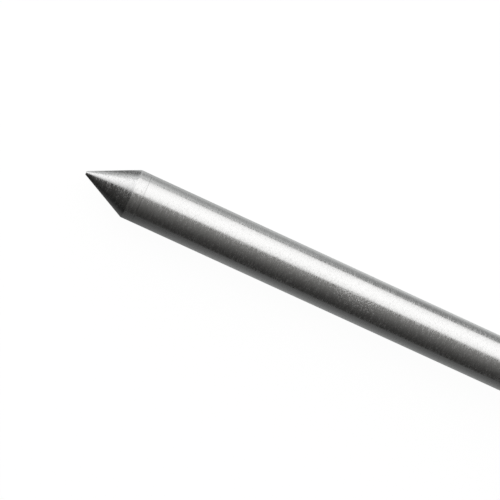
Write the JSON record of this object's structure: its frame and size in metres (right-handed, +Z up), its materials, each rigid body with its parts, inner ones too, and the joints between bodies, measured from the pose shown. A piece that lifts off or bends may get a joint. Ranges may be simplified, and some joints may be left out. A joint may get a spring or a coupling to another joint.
{
  "type": "garden dibber",
  "caption": "Hand dibber for making planting holes: a round steel shaft with a turned conical point, a coped steel collar and a turned wooden crossbar to push on.",
  "frame": {"origin": "centre of the floor area that the dibber covers as it lies on a level surface, on that surface", "axes": "+X along the shaft, from the point towards the crossbar; +Y along the crossbar; +Z up. The shaft lies 1.3 degrees off level, its point end lower, because the tool rests on the shoulder of its point and on its thicker crossbar"},
  "size_m": [0.2704, 0.12, 0.031],
  "materials": {
    "turned_steel": "stainless steel as turned, with fine turning rings round the cone",
    "shaft_steel": "satin stainless tube, polished round its axis with a fine grit, lightly marked by use",
    "collar_steel": "satin stainless, turned and lightly polished",
    "fastener_steel": "bright stainless, cold formed",
    "oiled_ash": "turned ash, sanded and oiled, satin"
  },
  "bodies": {
    "root": {"point": "turned_steel", "shaft_tube": "shaft_steel", "threaded_plug": "turned_steel", "saddle_collar": "collar_steel", "collar_pin": "fastener_steel", "crossbar": "oiled_ash", "handle_washer": "fastener_steel", "handle_screw": "fastener_steel"}
  },
  "joints": []
}
